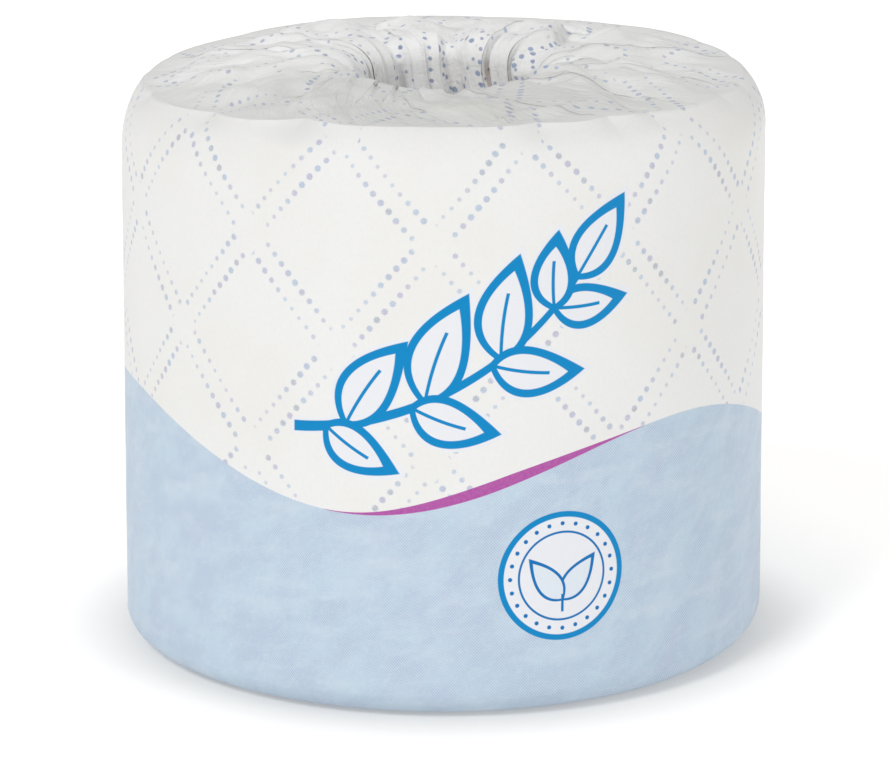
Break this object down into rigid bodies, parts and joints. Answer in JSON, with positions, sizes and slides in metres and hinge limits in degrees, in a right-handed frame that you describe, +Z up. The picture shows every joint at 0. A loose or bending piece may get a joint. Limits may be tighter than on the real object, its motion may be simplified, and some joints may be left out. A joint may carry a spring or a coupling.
{
  "type": "wrapped toilet paper roll",
  "caption": "Toilet paper roll in a printed paper wrapper, pleated over both ends and tucked into the open cardboard core.",
  "frame": {"origin": "centre of the bottom end, on the surface that the roll stands on", "axes": "+Z up along the roll's axis; -Y is the front; the wrapper's lap seam is at the back, at +Y"},
  "size_m": [0.117, 0.1171, 0.1045],
  "materials": {
    "printed_paper": "thin smooth printed wrapping paper, satin",
    "tissue": "soft embossed tissue, matt",
    "core_board": "spiral wound brown board, matt"
  },
  "bodies": {
    "root": {"wrapper": "printed_paper", "tissue_roll": "tissue", "core_tube": "core_board"}
  },
  "joints": []
}
